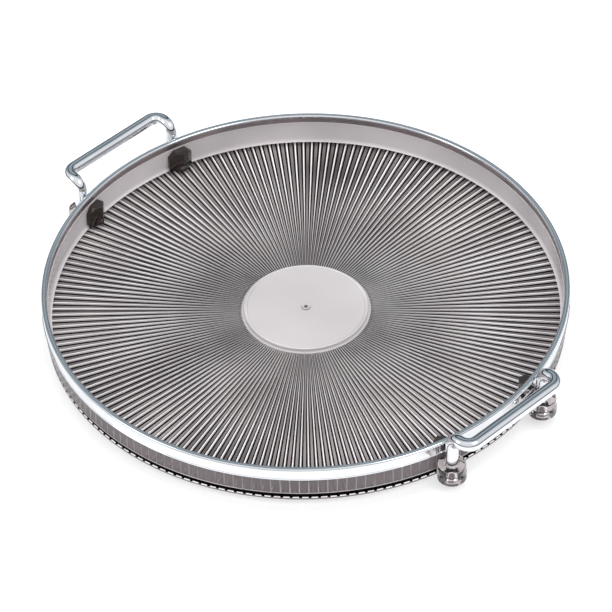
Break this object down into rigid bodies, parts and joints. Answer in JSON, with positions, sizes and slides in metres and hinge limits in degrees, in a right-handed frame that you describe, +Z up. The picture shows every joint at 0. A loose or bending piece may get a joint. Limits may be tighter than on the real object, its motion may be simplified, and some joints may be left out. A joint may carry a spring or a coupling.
{
  "type": "lazy susan turntable",
  "caption": "Round rotating serving tray in smoky clear plastic with radial ribs, a bright rim band and two rod handles, turning on a ball race over a low base pan.",
  "frame": {"origin": "on the table plane under the pivot, at the centre of the feet", "axes": "+Z up along the pivot, +X out through one handle, +Y along the grips"},
  "size_m": [0.4432, 0.4, 0.0516],
  "materials": {
    "smoky_plastic": "clear smoky, polished",
    "dark_smoky_plastic": "clear dark smoky, polished",
    "clear_socket": "clear smoky, polished",
    "bright_plate": "mirror bright",
    "race_steel": "zinc plated",
    "ball_steel": "polished",
    "screw_steel": "plain",
    "insert_brass": "turned",
    "white_nylon": "moulded",
    "black_rubber": "matte"
  },
  "bodies": {
    "base": {"base_pan": "smoky_plastic", "rubber_feet": "black_rubber", "lower_race": "race_steel", "lower_race_rivets": "race_steel"},
    "cage": {"ball_cage": "white_nylon", "bearing_balls": "ball_steel"},
    "tray": {"tray_shell": "smoky_plastic", "rim_band": "bright_plate", "upper_race": "race_steel", "upper_race_screws": "race_steel", "pivot_insert": "insert_brass", "pivot_washer": "race_steel", "pivot_screw": "screw_steel", "handle_right": "bright_plate", "handle_left": "bright_plate", "socket_right_front": "clear_socket", "socket_right_back": "clear_socket", "socket_left_front": "clear_socket", "socket_left_back": "clear_socket", "clamp_right_front": "dark_smoky_plastic", "clamp_right_back": "dark_smoky_plastic", "clamp_left_front": "dark_smoky_plastic", "clamp_left_back": "dark_smoky_plastic", "clamp_screws": "screw_steel", "leg_screws": "screw_steel", "leg_washers": "race_steel", "leg_gaskets": "black_rubber"}
  },
  "joints": [
    {"name": "tray_spin", "type": "hinge", "parent": "base", "child": "tray", "pos_m": [0, 0, 0.00575], "axis": [0, 0, 1], "continuous": true},
    {"name": "cage_spin", "type": "hinge", "parent": "base", "child": "cage", "pos_m": [0, 0, 0.00575], "axis": [0, 0, 1], "continuous": true}
  ],
  "couplings": [
    {"joint": "cage_spin", "follows": "tray_spin", "ratio": 0.5}
  ]
}
